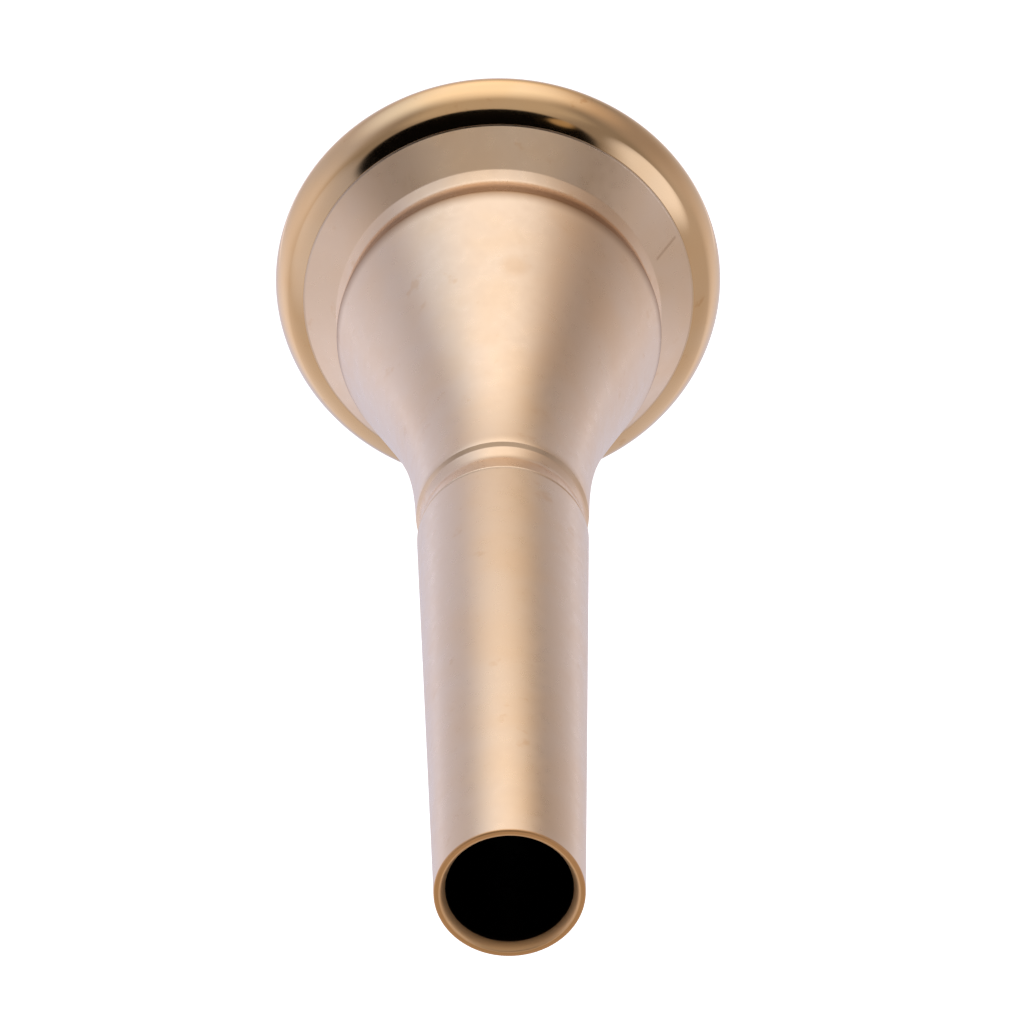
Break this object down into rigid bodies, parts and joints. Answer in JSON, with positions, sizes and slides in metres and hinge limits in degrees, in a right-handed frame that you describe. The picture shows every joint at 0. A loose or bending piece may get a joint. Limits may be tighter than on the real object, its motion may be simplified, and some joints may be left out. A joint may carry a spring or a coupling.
{
  "type": "brass instrument mouthpiece",
  "caption": "Funnel-shaped French horn mouthpiece that unscrews into a polished rim, satin cup, neck ring and tapered shank.",
  "frame": {"origin": "on the centre line, at the rim face that the mouthpiece stands on", "axes": "+Z along the centre line from the rim face towards the small end of the shank; X and Y are alike"},
  "size_m": [0.0254, 0.0254, 0.064],
  "materials": {
    "polished_plate": "mirror-polished pale rose-gold plate over brass",
    "satin_plate": "satin pale rose-gold plate over turned brass",
    "seal_rubber": "matt black nitrile rubber"
  },
  "bodies": {
    "rim": {"rim": "polished_plate"},
    "rim_seal": {"rim_seal": "seal_rubber"},
    "cup": {"cup": "satin_plate"},
    "neck_ring": {"neck_ring": "satin_plate"},
    "shank": {"shank": "satin_plate", "shank_seal": "seal_rubber"}
  },
  "joints": [
    {"name": "cup_lift", "type": "slide", "parent": "rim", "child": "rim_seal", "axis": [0, 0, 1], "range_m": [0, 0.0015]},
    {"name": "cup_turn", "type": "hinge", "parent": "rim_seal", "child": "cup", "pos_m": [0, 0, 0], "axis": [0, 0, 1], "range_deg": [0, 900]},
    {"name": "shank_lift", "type": "slide", "parent": "cup", "child": "neck_ring", "axis": [0, 0, 1], "range_m": [0, 0.004]},
    {"name": "shank_turn", "type": "hinge", "parent": "neck_ring", "child": "shank", "pos_m": [0, 0, 0], "axis": [0, 0, 1], "range_deg": [0, 1800]}
  ],
  "couplings": [
    {"joint": "cup_lift", "follows": "cup_turn", "m_per_rad": 0.000079577},
    {"joint": "shank_lift", "follows": "shank_turn", "m_per_rad": 0.00011937}
  ]
}
